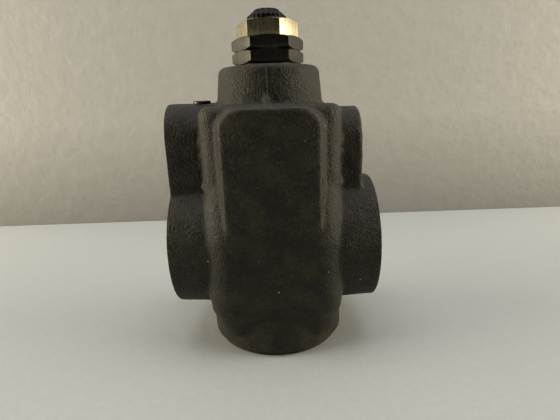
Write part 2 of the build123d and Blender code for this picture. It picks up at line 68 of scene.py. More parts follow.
FACE_X = span("valve_body", 0)[1]
NECK_TOP = span("valve_body", 2)[1]
SLEEVE_TOP = span("metering_sleeve", 2)[1]
SLEEVE_R = span("metering_sleeve", 0)[1]
PLUG_LOW, PLUG_HIGH = span("bottom_plug", 2)
PORT_Z = 51.6
SHOULDER_Z = SLEEVE_TOP + 9.0
GAUGE_Z = sum(span("inlet_gauge_plug", 2)) / 2
INLET_LOBE_X = -span("inlet_gauge_plug", 0)[0] + 0.4
OUTLET_LOBE_X = span("outlet_gauge_plug", 0)[1] + 0.4
print("port faces at", round(FACE_X, 2), "neck top at", round(NECK_TOP, 2))

# %% [markdown]
# ## Working tools
# An operator acts on everything that is selected, and the loaded frame is selected, so each step
# starts with nothing selected. Faces and edges are picked by their place, as a hand would pick them.

# %% Helpers for selecting, cutting and joining
def start():
    """Leaves edit mode and selects nothing."""
    if bpy.context.object and bpy.context.object.mode != "OBJECT":
        bpy.ops.object.mode_set(mode="OBJECT")
    bpy.ops.object.select_all(action="DESELECT")


def take(piece):
    """Makes one piece the selected and active one."""
    start()
    piece.select_set(True)
    bpy.context.view_layer.objects.active = piece


def settle(piece, name):
    """Names a new piece and puts its place into its mesh."""
    take(piece)
    piece.name = name
    piece.data.name = name
    bpy.ops.object.transform_apply(location=True, rotation=True, scale=True)
    return piece


def pick_edges(piece, wanted):
    """In edit mode, selects the edges whose two ends pass a test."""
    mesh = bmesh.from_edit_mesh(piece.data)
    bpy.ops.mesh.select_all(action="DESELECT")
    for edge in mesh.edges:
        a, b = (vert.co / MM for vert in edge.verts)
        if wanted(a, b):
            edge.select_set(True)
    bmesh.update_edit_mesh(piece.data)


def pick_faces(piece, wanted):
    """In edit mode, selects the faces whose centre and normal pass a test."""
    mesh = bmesh.from_edit_mesh(piece.data)
    bpy.ops.mesh.select_all(action="DESELECT")
    for face in mesh.faces:
        if wanted(face.calc_center_median() / MM, face.normal):
            face.select_set(True)
    bmesh.update_edit_mesh(piece.data)


def face_outwards(piece):
    take(piece)
    bpy.ops.object.mode_set(mode="EDIT")
    bpy.ops.mesh.select_all(action="SELECT")
    bpy.ops.mesh.normals_make_consistent(inside=False)
    bpy.ops.object.mode_set(mode="OBJECT")


def apply_modifier(piece, kind, **settings):
    """Adds a modifier, sets it and applies it."""
    take(piece)
    modifier = piece.modifiers.new(kind.title(), kind)
    for key, value in settings.items():
        setattr(modifier, key, value)
    bpy.ops.object.modifier_apply(modifier=modifier.name)
    return piece


def combine(piece, other, operation):
    """Cuts, keeps or adds another closed shape, which is used up."""
    apply_modifier(piece, "BOOLEAN", object=other, operation=operation, solver="MANIFOLD")
    bpy.data.objects.remove(other)
    return piece


def join(pieces, name):
    take(pieces[0])
    for piece in pieces:
        piece.select_set(True)
    bpy.ops.object.join()
    return settle(bpy.context.object, name)


def soften(piece, width, angle=35, segments=2):
    """A small bevel on every sharp edge, then smooth shading up to that angle."""
    apply_modifier(piece, "BEVEL", width=width * MM, segments=segments, limit_method="ANGLE",
                   angle_limit=radians(angle), harden_normals=False)
    take(piece)
    bpy.ops.object.shade_smooth_by_angle(angle=radians(angle))
    return piece


# %% [markdown]
# ## A lathe
# Most pieces are turned. A disc is added at the first station and then extruded and scaled to the
# next, as a lathe works along a bar. With six segments instead of many, the same steps make hexagon bar.

# %% Turn a bar
TURN = {"Z": (0, 0, 0), "X": (0, pi / 2, 0), "-X": (0, -pi / 2, 0)}


def turned(name, stations, segments=96, axis="Z", at=(0, 0, 0), spin_deg=0):
    """A closed bar through (radius, height) stations in millimetres, laid along an axis at a place."""
    start()
    radius, height = stations[0]
    bpy.ops.mesh.primitive_circle_add(vertices=segments, radius=radius * MM, fill_type="NGON",
                                      location=(0, 0, height * MM))
    bar = settle(bpy.context.object, name)
    bpy.ops.object.mode_set(mode="EDIT")
    bpy.ops.mesh.select_all(action="SELECT")
    for next_radius, next_height in stations[1:]:
        rise = (next_height - height) * MM
        bpy.ops.mesh.extrude_region_move(TRANSFORM_OT_translate={"value": (0, 0, rise)})
        if next_radius != radius:
            grow = next_radius / radius
            bpy.ops.transform.resize(value=(grow, grow, 1), center_override=(0, 0, next_height * MM))
        radius, height = next_radius, next_height
    bpy.ops.object.mode_set(mode="OBJECT")
    face_outwards(bar)
    bar.data.transform(Matrix.Rotation(radians(spin_deg), 4, "Z"))
    bar.rotation_euler = TURN[axis]
    bar.location = Vector(at) * MM
    return settle(bar, name)


def block(name, low, high):
    """A box between two corners in millimetres."""
    start()
    low, high = Vector(low), Vector(high)
    bpy.ops.mesh.primitive_cube_add(size=1, location=(low + high) / 2 * MM, scale=(high - low) * MM)
    return settle(bpy.context.object, name)


# %% [markdown]
# ## A screw thread
# A thread is a ridge that winds round a bar. The bar gets eight rings of points for each turn, and
# each point moves out by a wave of its height and its angle, so the crest climbs one pitch a turn.

# %% Cut a helical thread into a dense bar
RINGS_PER_TURN = 8
CREST_FLAT = 0.14


def thread_rings(radius, low, high, pitch):
    """Stations close enough together to carry a thread."""
    count = round((high - low) / pitch * RINGS_PER_TURN)
    return [(radius, low + (high - low) * ring / count) for ring in range(count + 1)]


def wind_thread(bar, radius, depth, pitch, low, high):
    """Moves a bar's side points outwards by up to depth, along a helix."""
    for point in bar.data.vertices:
        x, y, z = point.co / MM
        reach = hypot(x, y)
        if low < z < high and abs(reach - radius) < 0.02:
            phase = (z / pitch - atan2(y, x) / tau) % 1
            wave = 1 - abs(2 * phase - 1)
            rise = min(max((wave - CREST_FLAT) / (1 - 2 * CREST_FLAT), 0), 1)
            grow = (radius + depth * rise) / reach
            point.co.x *= grow
            point.co.y *= grow


# %% [markdown]
# ## The casting
# Molten iron fills a sand mould, so the body has drafted sides, no sharp inner corner and a skin like
# fine gravel. The lumps that the pattern maker would glue together are added as plain solids and
# joined. A voxel remesh then melts them into one skin, and smoothing rounds every corner as sand does.

# %% The pattern maker's lumps
BARREL_R = 35.3
FOOT_R = 33.4
FOOT_H = 3.0
BOSS_R = 32.3
BOSS_DRAFT = tan(radians(3.0))
LOBE_HALF_DEPTH = 16.5
INLET_LOBE_TOP = 123.0
OUTLET_LOBE_TOP = 119.2
PANEL_HALF_W = 21.1
PANEL_Y = 37.2
PANEL_CROWN_R = 240.0
PANEL_DRAFT_DEG = 21
PANEL_TOP_DROP = 1.2
PANEL_ROUND = 9
COLUMN_HALF_W = 32.4
COLUMN_HALF_D = 28.5
COLUMN_ROUND = 8.5
BELLY_HALF_W = 33.2
BELLY_HALF_D = 36.9
CUT_STOCK = 1.2   # extra metal that the machine shop takes off


def barrel_lump():
    """The upright barrel, a touch wider at the top, as draft leaves it."""
    top_r = BARREL_R + 0.3
    shoulder = [(top_r - 5 + 5 * sin(a), SHOULDER_Z - 5 + 5 * cos(a))
                for a in (radians(d) for d in (90, 60, 30, 0))]
    return turned("barrel", [(BARREL_R, -CUT_STOCK), (BARREL_R, 20)] + shoulder)


def drawn_in(name, half_w, half_d, corner, low, high, ends):
    """A round-cornered block whose ends draw in. Each end is a height and its steps of rise and scale."""
    lump = block(name, (-half_w, -half_d, low), (half_w, half_d, high))
    bpy.ops.object.mode_set(mode="EDIT")
    pick_edges(lump, lambda a, b: abs(a.z - b.z) > 5)
    bpy.ops.mesh.bevel(offset=corner * MM, segments=8, profile=0.5)
    for end, steps in ends:
        pick_faces(lump, lambda centre, normal: abs(centre.z - end) < 0.1 and abs(normal.z) > 0.9)
        for rise, scale_x, scale_y in steps:
            bpy.ops.mesh.extrude_region_move(TRANSFORM_OT_translate={"value": (0, 0, rise * MM)})
            bpy.ops.transform.resize(value=(scale_x, scale_y, 1), center_override=(0, 0, 0))
    bpy.ops.object.mode_set(mode="OBJECT")
    return lump


def neck_lump():
    edge = [(24.6, NECK_TOP - 2.4), (24.0, NECK_TOP - 0.9), (22.6, NECK_TOP + 0.1)]
    return turned("neck", [(26.8, SHOULDER_Z - 8)] + edge)


def boss_lump(axis):
    """A port boss, a little longer than the finished one."""
    root_r = BOSS_R + FACE_X * BOSS_DRAFT
    return turned("boss", [(root_r, 0), (BOSS_R, FACE_X + CUT_STOCK)], axis=axis, at=(0, 0, PORT_Z))


def lobe_lumps(side, top, reach):
    """The round top and the flat-sided web of one lobe."""
    centre = top - LOBE_HALF_DEPTH
    axis = "X" if side > 0 else "-X"
    stations = [(LOBE_HALF_DEPTH, 5), (LOBE_HALF_DEPTH, reach - 1.0), (LOBE_HALF_DEPTH - 1.0, reach)]
    crown = turned("lobe_crown", stations, axis=axis, at=(0, 0, centre))
    ends = sorted((side * 5, side * reach))
    web = block("lobe_web", (ends[0], -LOBE_HALF_DEPTH, PORT_Z), (ends[1], LOBE_HALF_DEPTH, centre))
    return [crown, web]


def panel_lump(side):
    """A pad with drafted sides, rounded upper corners and a slightly crowned face."""
    top = SHOULDER_Z - PANEL_TOP_DROP
    draft = PANEL_Y * tan(radians(PANEL_DRAFT_DEG))
    pad = block("panel", (-PANEL_HALF_W - draft, 0, PORT_Z - 18), (PANEL_HALF_W + draft, PANEL_Y, top))
    bpy.ops.object.mode_set(mode="EDIT")
    pick_faces(pad, lambda centre, normal: normal.y > 0.9)
    narrow = PANEL_HALF_W / (PANEL_HALF_W + draft)
    bpy.ops.transform.resize(value=(narrow, 1, 1), center_override=(0, 0, 0))
    pick_edges(pad, lambda a, b: min(a.z, b.z) > top - 1 and abs(a.y - b.y) > 5)
    bpy.ops.mesh.bevel(offset=PANEL_ROUND * MM, segments=8, profile=0.5)
    bpy.ops.object.mode_set(mode="OBJECT")
    crown = turned("crown", [(PANEL_CROWN_R, 0), (PANEL_CROWN_R, 200)], 192,
                   at=(0, PANEL_Y - PANEL_CROWN_R, 0))
    combine(pad, crown, "INTERSECT")
    if side < 0:
        pad.data.transform(Matrix.Rotation(pi, 4, "Z"))
    return pad


def column_lump():
    """The squarer block between the lobes. Its top edge is rounded like the barrel's shoulder."""
    column = drawn_in("column", COLUMN_HALF_W, COLUMN_HALF_D, COLUMN_ROUND, PORT_Z - 20, SHOULDER_Z, [])
    bpy.ops.object.mode_set(mode="EDIT")
    pick_edges(column, lambda a, b: min(a.z, b.z) > SHOULDER_Z - 0.1)
    bpy.ops.mesh.bevel(offset=4.5 * MM, segments=5, profile=0.5)
    bpy.ops.object.mode_set(mode="OBJECT")
    return column


def belly_lump():
    """The full middle that holds the port passages, drawn in above and below in three easy steps."""
    low, high = PORT_Z - 20, PORT_Z + 8
    above = [(8, 0.985, 0.95), (11, 0.975, 0.90), (10, 0.985, 0.93)]
    below = [(-8, 0.975, 0.97), (-9, 0.91, 0.91), (-9, 0.86, 0.87)]
    return drawn_in("belly", BELLY_HALF_W, BELLY_HALF_D, 12, low, high, [(high, above), (low, below)])


lumps = [barrel_lump(), column_lump(), neck_lump(), belly_lump(), panel_lump(1), panel_lump(-1)]
lumps += [boss_lump("X"), boss_lump("-X")]
lumps += lobe_lumps(-1, INLET_LOBE_TOP, FACE_X + CUT_STOCK)
lumps += lobe_lumps(1, OUTLET_LOBE_TOP, OUTLET_LOBE_X)
print("lumps on the pattern:", len(lumps))

# %% [markdown]
# A mould never closes perfectly. It leaves small blobs where sand fell away, and a thin fin where its
# halves met, which here runs down the front of the neck. The blobs go in before the remesh.

# %% Blobs left by the mould
def blob(x, y, z, radius, stretch=(1, 1, 1)):
    start()
    bpy.ops.mesh.primitive_ico_sphere_add(subdivisions=3, radius=radius * MM,
                                          location=(x * MM, y * MM, z * MM), scale=stretch)
    return settle(bpy.context.object, "blob")


for side in (-1, 1):
    lumps.append(blob(side * 32.6, -17.0, 104.5, 1.2, (0.9, 1, 2.2)))
    lumps.append(blob(side * 32.4, -18.0, 98.5, 1.0, (0.9, 1, 2.0)))
    lumps.append(blob(side * 32.4, -19.5, 84.5, 2.2, (0.7, 1.2, 0.9)))
lumps.append(blob(-1.0, -26.3, 122.8, 1.4, (0.6, 0.8, 2.0)))
print("lumps with the mould's blobs:", len(lumps))

# %% [markdown]
# The remesh size decides how fine the skin is: 0.8 mm keeps the corners and stays light enough.
# Clouds of two sizes then push the skin in and out, the coarse one for the slight waves of a
# hand-rammed mould and the fine one for its gravel.

# %% Melt the lumps into one skin
casting = join(lumps, "casting")
VOXEL = 0.8
apply_modifier(casting, "REMESH", mode="VOXEL", voxel_size=VOXEL * MM, adaptivity=0)
apply_modifier(casting, "SMOOTH", factor=0.5, iterations=6)
for name, size, strength in (("mould_waves", 9.0, 0.5), ("mould_gravel", 1.5, 0.28)):
    clouds = bpy.data.textures.new(name, "CLOUDS")
    clouds.noise_scale = size * MM
    clouds.noise_depth = 2
    apply_modifier(casting, "DISPLACE", texture=clouds, strength=strength * MM, mid_level=0.5,
                   texture_coords="LOCAL")
print("skin faces:", len(casting.data.polygons))

# %% [markdown]
# ## Machining
# The casting then goes to the machine shop, so faces, bores and threads are crisp against the rough
# skin. Round tools are turned bars and flat faces are cut by blocks. The ports get a helical G 1 thread
# of 2.309 mm pitch, 1.45 mm deep.

# %% Face and bore the casting
PORT_R = 15.15
G1_PITCH = 2.309
G1_DEPTH = 1.45
MAIN_BORE_R = SLEEVE_R + 0.02
GAUGE_SEAT = 4.6   # how far a gauge plug's seat lies inside its lobe's end


def port_tool(axis):
    """Passage, threaded length and lead-in chamfer of one port."""
    stations = [(13.5, 0), (13.5, FACE_X - 20), (PORT_R, FACE_X - 20)]
    stations += thread_rings(PORT_R, FACE_X - 19, FACE_X - 1.6, G1_PITCH)
    stations += [(PORT_R + G1_DEPTH + 0.1, FACE_X), (PORT_R + G1_DEPTH + 0.1, FACE_X + 4)]
    tool = turned("port_tool", stations, 72)
    wind_thread(tool, PORT_R, G1_DEPTH, G1_PITCH, FACE_X - 18.5, FACE_X - 1.7)
    tool.rotation_euler = TURN[axis]
    tool.location = (0, 0, PORT_Z * MM)
    return settle(tool, "port_tool")


def gauge_tool(axis, reach):
    """Counterbore, tapping and drilling of one gauge port."""
    stations = [(2.5, 0), (2.5, reach - 12), (5.8, reach - 12), (5.8, reach - GAUGE_SEAT)]
    stations += [(9.5, reach - GAUGE_SEAT), (9.5, reach - 0.4), (9.9, reach), (9.9, reach + 4)]
    return turned("gauge_tool", stations, axis=axis, at=(0, 0, GAUGE_Z))


GALLERY_X = sum(span("gallery_plug", 0)) / 2
GALLERY_SEAT = 122.3
foot_ring = combine(block("foot_ring", (-60, -60, -9), (60, 60, FOOT_H)),
                    turned("foot_core", [(FOOT_R, -10), (FOOT_R, FOOT_H + 1)]), "DIFFERENCE")
cuts = [
    foot_ring,
    block("under_foot", (-60, -60, -8), (60, 60, 0)),
    block("inlet_face", (-60, -60, -5), (-FACE_X, 60, 130)),
    block("outlet_face", (FACE_X, -60, -5), (60, 60, 130)),
    block("neck_face", (-40, -40, NECK_TOP), (40, 40, NECK_TOP + 9)),
    turned("main_bore", [(22.5, -1), (22.5, 0), (20.0, 2.5), (20.0, 17), (MAIN_BORE_R, 17),
                         (MAIN_BORE_R, SLEEVE_TOP), (8.5, SLEEVE_TOP), (8.5, 124), (10.0, 124),
                         (10.0, NECK_TOP - 0.8), (10.8, NECK_TOP), (10.8, NECK_TOP + 3)]),
    port_tool("X"),
    port_tool("-X"),
    gauge_tool("X", OUTLET_LOBE_X),
    gauge_tool("-X", INLET_LOBE_X),
    turned("gallery_tool", [(2.5, 64), (2.5, 112), (4.0, 112), (4.0, GALLERY_SEAT), (5.3, GALLERY_SEAT),
                            (5.3, 127)], 48, at=(GALLERY_X, 0, 0)),
]
for tool in cuts:
    combine(casting, tool, "DIFFERENCE")
print("faces after machining:", len(casting.data.polygons))

# %% [markdown]
# The fin on the neck is thinner than the skin's mesh, so it is added after the remesh, as a narrow
# ridge that leans with the neck. A knock on the pad's edge is cut with a tilted blob.

# %% The fin and the knock
def tilted(piece, place, turn_deg, axis):
    """Turns a piece about a point of its own."""
    place = Vector(place) * MM
    piece.data.transform(Matrix.Translation(place) @ Matrix.Rotation(radians(turn_deg), 4, axis)
                         @ Matrix.Translation(-place))
    return piece


fin = tilted(block("fin", (-0.85, -26.6, 121.5), (-0.2, -20, 136.6)), (0, -26.35, 121.5), -6.5, "X")
apply_modifier(fin, "BEVEL", width=0.2 * MM, segments=2)
combine(casting, fin, "UNION")
knock = tilted(blob(23.6, -34.2, 88.0, 1.9, (1.1, 0.9, 1.5)), (23.6, -34.2, 88.0), 40, "Y")
combine(casting, knock, "DIFFERENCE")
take(casting)
bpy.ops.object.shade_smooth_by_angle(angle=radians(38))
casting.name = "cast_body"
print("faces with the fin and the knock:", len(casting.data.polygons))

# %% [markdown]
# ## Nuts and the screw head
# A nut is hexagon bar with its corners turned off at a shallow angle, which leaves the curved line at the
# top of each flat. So a six-sided bar is cut by a turned envelope with a coned end.

# %% Hexagon pieces
def hexagon(name, across_flats, low, high, spin_deg, cone_low=True, cone_high=True):
    """Hexagon bar with a flat towards the front, turned by spin_deg, and its ends coned."""
    corner_r = across_flats / sqrt(3)
    flat_r = across_flats / 2 * 1.005
    drop = (corner_r - flat_r) * tan(radians(24))
    bar = turned(name, [(corner_r, low), (corner_r, high)], 6, spin_deg=spin_deg + 30)
    stations = [(flat_r, low), (corner_r, low + drop)] if cone_low else [(corner_r, low)]
    stations += [(corner_r, high - drop), (flat_r, high)] if cone_high else [(corner_r, high)]
    envelope = turned("envelope", stations, 128)
    return combine(bar, envelope, "INTERSECT")


NUT_AF = 30.0
HEAD_AF = 25.5
SCREW_R = 10.0


def lock_nut(node):
    low, high = span(node, 2)
    nut = hexagon(node + "_turned", NUT_AF, low + 0.05, high - 0.05, 4)
    bore = turned("bore", [(SCREW_R + 1, low - 1), (SCREW_R + 1, low + 0.2), (SCREW_R, low + 1.2),
                           (SCREW_R, high - 1.2), (SCREW_R + 1, high - 0.2), (SCREW_R + 1, high + 1)])
    combine(nut, bore, "DIFFERENCE")
    return soften(nut, 0.14, 28)


nuts = {node: lock_nut(node) for node in ("lower_lock_nut", "upper_lock_nut")}
print("nuts:", *nuts)

# %% [markdown]
# The adjusting screw is one piece: a plated hexagon head, an M20 x 1.5 thread that runs through the
# nuts into the neck, and a smooth end with a groove for its O-ring. The thread shows when it is raised.

# %% The adjusting screw
M20_PITCH = 1.5
M20_DEPTH = 0.92
SCREW_LOW, HEAD_TOP = span("adjusting_screw", 2)
HEAD_LOW = span("upper_lock_nut", 2)[1]
SEAL_LOW = span("screw_seal", 2)[0] - 0.2
SEAL_HIGH = span("screw_backup_ring", 2)[1] + 0.1
SMOOTH_R = 8.47
root_r = SCREW_R - 0.05 - M20_DEPTH

stations = [(SMOOTH_R - 0.6, SCREW_LOW), (SMOOTH_R, SCREW_LOW + 0.6)]
stations += [(SMOOTH_R, SEAL_LOW), (6.0, SEAL_LOW), (6.0, SEAL_HIGH), (SMOOTH_R, SEAL_HIGH)]
stations += [(SMOOTH_R, 124.4), (root_r, 125.0)]
stations += thread_rings(root_r, 125.6, HEAD_LOW - 1.6, M20_PITCH)
stations += [(root_r, HEAD_LOW - 1.2), (root_r + 0.4, HEAD_LOW - 0.6), (root_r + 0.4, HEAD_LOW + 1)]
screw = turned("screw", stations, 64)
wind_thread(screw, root_r, M20_DEPTH, M20_PITCH, 125.7, HEAD_LOW - 1.7)
head = hexagon("head", HEAD_AF, HEAD_LOW, HEAD_TOP, -6, cone_low=False)
socket = turned("cap_socket", [(6.0, HEAD_TOP - 4.5), (6.0, HEAD_TOP + 1)])
combine(head, socket, "DIFFERENCE")
soften(head, 0.16, 28)
combine(head, screw, "UNION")
combine(head, blob(0, 0, sum(span("thrust_ball", 2)) / 2, 4.0), "DIFFERENCE")
take(head)
bpy.ops.object.shade_smooth_by_angle(angle=radians(28))
head.name = "plated_adjusting_screw"
print("screw faces:", len(head.data.polygons))

# %% [markdown]
# ## The black cap
# The cap is moulded nylon: a toothed rim for the fingers, a dome stepped by the mould and a flat top
# with a shallow dimple. One tooth gap is modelled, copied round the rim and cut away in one go.

# %% The cap
CAP_LOW = HEAD_TOP
CAP_HIGH = span("adjuster_cap", 2)[1]
CAP_R = span("adjuster_cap", 0)[1]
dome = [(CAP_R - 0.35, CAP_LOW), (CAP_R, CAP_LOW + 0.35), (CAP_R - 0.1, CAP_LOW + 2.2)]
dome += [(CAP_R - 0.7, CAP_LOW + 2.7), (8.0, CAP_LOW + 3.1), (7.6, CAP_LOW + 3.8), (6.7, CAP_LOW + 4.1)]
dome += [(6.3, CAP_HIGH - 0.5), (5.8, CAP_HIGH), (3.9, CAP_HIGH), (3.6, CAP_HIGH - 0.5)]
cap = turned("cap", [(5.95, CAP_LOW - 4), (5.95, CAP_LOW)] + dome, 120)


def tooth_ring(radius, width, depth, low, high, count):
    """Small blocks set evenly round the axis, as one cutter."""
    teeth = []
    for number in range(count):
        tooth = block("tooth", (radius - depth, -width / 2, low), (radius + 1.5, width / 2, high))
        tooth.data.transform(Matrix.Rotation(tau * number / count, 4, "Z"))
        teeth.append(tooth)
    return join(teeth, "teeth")


combine(cap, tooth_ring(CAP_R, 0.95, 0.7, CAP_LOW - 1, CAP_LOW + 3.2, 26), "DIFFERENCE")
combine(cap, tooth_ring(6.6, 0.7, 0.7, CAP_LOW + 4.3, CAP_HIGH + 1, 14), "DIFFERENCE")
soften(cap, 0.1, 30)
cap.name = "moulded_cap"
print("cap faces:", len(cap.data.polygons))

# %% [markdown]
# ## Washer and plugs
# The washer under the nuts is a pressed ring with rounded edges. The plugs are turned black steel
# with a hexagon socket, and the one under the foot is as wide as the bore it closes.

# %% Washer and plugs
def ring_washer():
    low, high = span("neck_washer", 2)
    washer = turned("pressed_washer", [(13.9, low), (14.2, low + 0.3), (14.2, high - 0.3), (13.9, high)])
    hole = turned("hole", [(SCREW_R + 0.2, low - 1), (SCREW_R + 0.2, high + 1)])
    combine(washer, hole, "DIFFERENCE")
    return soften(washer, 0.1)


def socket_cut(plug, across_flats, low, high, axis="Z", at=(0, 0, 0)):
    """Cuts a hexagon socket into a plug."""
    wide = across_flats / sqrt(3)
    socket = turned("socket", [(wide, low), (wide, high)], 6, axis=axis, at=at)
    return combine(plug, socket, "DIFFERENCE")


def gauge_plug(node, axis, reach):
    seat = reach - GAUGE_SEAT
    stations = [(5.2, reach - 10.5), (5.75, reach - 10), (5.75, seat + 1), (8.2, seat + 1)]
    stations += [(8.2, reach - 0.9), (7.7, reach - 0.4)]
    plug = turned(node + "_turned", stations, axis=axis, at=(0, 0, GAUGE_Z))
    socket_cut(plug, 6, seat - 3, reach + 2, axis, (0, 0, GAUGE_Z))
    return soften(plug, 0.12)


def small_gallery_plug():
    low, high = span("gallery_plug", 2)
    stations = [(3.6, low), (3.95, low + 0.5), (3.95, GALLERY_SEAT), (4.4, GALLERY_SEAT)]
    stations += [(4.4, high - 0.4), (4.1, high)]
    plug = turned("gallery_plug_turned", stations, 64, at=(GALLERY_X, 0, 0))
    socket_cut(plug, 4, GALLERY_SEAT - 1.5, high + 2, at=(GALLERY_X, 0, 0))
    return soften(plug, 0.1)


def foot_plug():
    """Its socket opens towards the floor, and a spigot on top goes up inside the spring."""
    stations = [(18.6, PLUG_LOW), (19.95, PLUG_LOW + 1.2), (19.95, 9.9), (17.3, 9.9), (17.3, 13.1)]
    stations += [(19.95, 13.1), (19.95, PLUG_HIGH - 4), (5.6, PLUG_HIGH - 4), (5.6, PLUG_HIGH - 0.5)]
    stations += [(5.1, PLUG_HIGH)]
    plug = turned("foot_plug_turned", stations)
    socket_cut(plug, 17, PLUG_LOW - 1, PLUG_LOW + 8)
    return soften(plug, 0.2)


washer = ring_washer()
inlet_plug = gauge_plug("inlet_gauge_plug", "-X", INLET_LOBE_X)
outlet_plug = gauge_plug("outlet_gauge_plug", "X", OUTLET_LOBE_X)
gallery = small_gallery_plug()
foot = foot_plug()
print("turned:", *(piece.name for piece in (washer, inlet_plug, outlet_plug, gallery, foot)))

# %% [markdown]
# ## Finishes
# Each finish is a material made of nodes. Patterns read Object coordinates turned into millimetres, so
# a grain of 0.6 mm is 0.6 mm on every piece. Effects that several finishes share are node groups.

# %% Node helpers
def add(tree, kind, **settings):
    """A node with its properties and input values set. A dict value sets inputs by name or number."""
    made = tree.nodes.new("ShaderNode" + kind)
    for key, value in settings.items():
        if key == "inputs":
            for name, setting in value.items():
                made.inputs[name].default_value = setting
        else:
            setattr(made, key, value)
    return made


def wire(tree, source, target):
    tree.links.new(source, target)


def group_with(name, inputs, outputs):
    """An empty node group with named float or vector sockets. Returns it with its two end nodes."""
    tree = bpy.data.node_groups.new(name, "ShaderNodeTree")
    for socket, kind, value in inputs:
        made = tree.interface.new_socket(socket, in_out="INPUT", socket_type="NodeSocket" + kind)
        if value is not None:
            made.default_value = value
    for socket, kind in outputs:
        tree.interface.new_socket(socket, in_out="OUTPUT", socket_type="NodeSocket" + kind)
    return tree, tree.nodes.new("NodeGroupInput"), tree.nodes.new("NodeGroupOutput")


def use_group(tree, group, **values):
    made = tree.nodes.new("ShaderNodeGroup")
    made.node_tree = group
    for name, value in values.items():
        made.inputs[name.replace("_", " ")].default_value = value
    return made


def ramp(tree, source, stops):
    """A colour ramp through (position, colour) stops. A colour is (r, g, b) or one grey value."""
    made = add(tree, "ValToRGB")
    marks = made.color_ramp.elements
    for number, (position, colour) in enumerate(stops):
        mark = marks[number] if number < 2 else marks.new(position)
        mark.position = position
        shade = colour if isinstance(colour, tuple) else (colour,) * 3
        mark.color = (*shade, 1)
    wire(tree, source, made.inputs["Fac"])
    return made.outputs["Color"]


def mix(tree, factor, a, b, blend="MIX"):
    """Mixes two colours. Each may be a socket or an (r, g, b) value."""
    made = add(tree, "Mix", data_type="RGBA", blend_type=blend)
    for socket, value in ((made.inputs["Factor"], factor), (made.inputs[6], a), (made.inputs[7], b)):
        if isinstance(value, bpy.types.NodeSocket):
            wire(tree, value, socket)
        else:
            socket.default_value = (*value, 1) if isinstance(value, tuple) else value
    return made.outputs[2]


def maths(tree, operation, a, b=0.0, clamp=False):
    made = add(tree, "Math", operation=operation, use_clamp=clamp)
    for socket, value in zip(made.inputs, (a, b)):
        if isinstance(value, bpy.types.NodeSocket):
            wire(tree, value, socket)
        else:
            socket.default_value = value
    return made.outputs[0]


# %% [markdown]
# ### Shared effects
# Sand grain is two layers of pebbles and fine noise: it gives a height for the bump and a tone that
# follows it. Scratches are noise stretched long and thin, cut so that only its peaks are left. Dust is
# a soft mask that gathers on faces that look up.

# %% Sand grain, scratches and dust
def sand_grain_group():
    tree, enter, leave = group_with(
        "sand_grain", [("Vector", "Vector", None), ("Grain", "Float", 1.4)],
        [("Height", "Float"), ("Tone", "Float")])
    pebbles = add(tree, "TexVoronoi", feature="SMOOTH_F1", inputs={"Smoothness": 0.4})
    fine = add(tree, "TexNoise", inputs={"Detail": 4.0, "Roughness": 0.65})
    broad = add(tree, "TexNoise", inputs={"Scale": 0.12, "Detail": 5.0, "Roughness": 0.6})
    for texture in (pebbles, fine, broad):
        wire(tree, enter.outputs["Vector"], texture.inputs["Vector"])
    wire(tree, enter.outputs["Grain"], pebbles.inputs["Scale"])
    wire(tree, maths(tree, "MULTIPLY", enter.outputs["Grain"], 0.7), fine.inputs["Scale"])
    lumpy = maths(tree, "MULTIPLY", maths(tree, "SUBTRACT", 1.0, pebbles.outputs["Distance"]), 0.55)
    height = maths(tree, "ADD", lumpy, maths(tree, "MULTIPLY", fine.outputs["Fac"], 0.75))
    wire(tree, height, leave.inputs["Height"])
    tone = maths(tree, "ADD", maths(tree, "MULTIPLY", broad.outputs["Fac"], 0.6),
                 maths(tree, "MULTIPLY", height, 0.35))
    wire(tree, tone, leave.inputs["Tone"])
    return tree


def scratch_group():
    tree, enter, leave = group_with(
        "scratches", [("Vector", "Vector", None), ("Length", "Float", 6.0), ("Amount", "Float", 0.3)],
        [("Mask", "Float")])
    masks = []
    for turn_deg, spread in ((24, 1.1), (-63, 0.8)):
        turn = add(tree, "Mapping", inputs={"Rotation": (0.2, radians(turn_deg), 0.1)})
        wire(tree, enter.outputs["Vector"], turn.inputs["Vector"])
        stretch = add(tree, "VectorMath", operation="MULTIPLY")
        along = add(tree, "CombineXYZ", inputs={"X": spread, "Y": spread})
        wire(tree, maths(tree, "DIVIDE", 0.6, enter.outputs["Length"]), along.inputs["Z"])
        wire(tree, turn.outputs["Vector"], stretch.inputs[0])
        wire(tree, along.outputs["Vector"], stretch.inputs[1])
        lines = add(tree, "TexNoise", inputs={"Scale": 1.6, "Detail": 1.0, "Roughness": 0.4})
        wire(tree, stretch.outputs["Vector"], lines.inputs["Vector"])
        masks.append(maths(tree, "SUBTRACT", lines.outputs["Fac"], 0.74))
    peak = maths(tree, "MAXIMUM", masks[0], masks[1])
    strong = maths(tree, "MULTIPLY", peak, 28.0, clamp=True)
    wire(tree, maths(tree, "MULTIPLY", strong, enter.outputs["Amount"]), leave.inputs["Mask"])
    return tree


def dust_group():
    tree, enter, leave = group_with(
        "dust", [("Vector", "Vector", None), ("Amount", "Float", 0.4)], [("Mask", "Float")])
    facing = add(tree, "NewGeometry")
    split = add(tree, "SeparateXYZ")
    wire(tree, facing.outputs["Normal"], split.inputs[0])
    upward = maths(tree, "POWER", maths(tree, "MAXIMUM", split.outputs["Z"], 0.0), 1.6)
    patch = add(tree, "TexNoise", inputs={"Scale": 0.35, "Detail": 4.0})
    wire(tree, enter.outputs["Vector"], patch.inputs["Vector"])
    uneven = maths(tree, "MULTIPLY", upward, maths(tree, "MULTIPLY", patch.outputs["Fac"], 1.6))
    wire(tree, maths(tree, "MULTIPLY", uneven, enter.outputs["Amount"], clamp=True), leave.inputs["Mask"])
    return tree


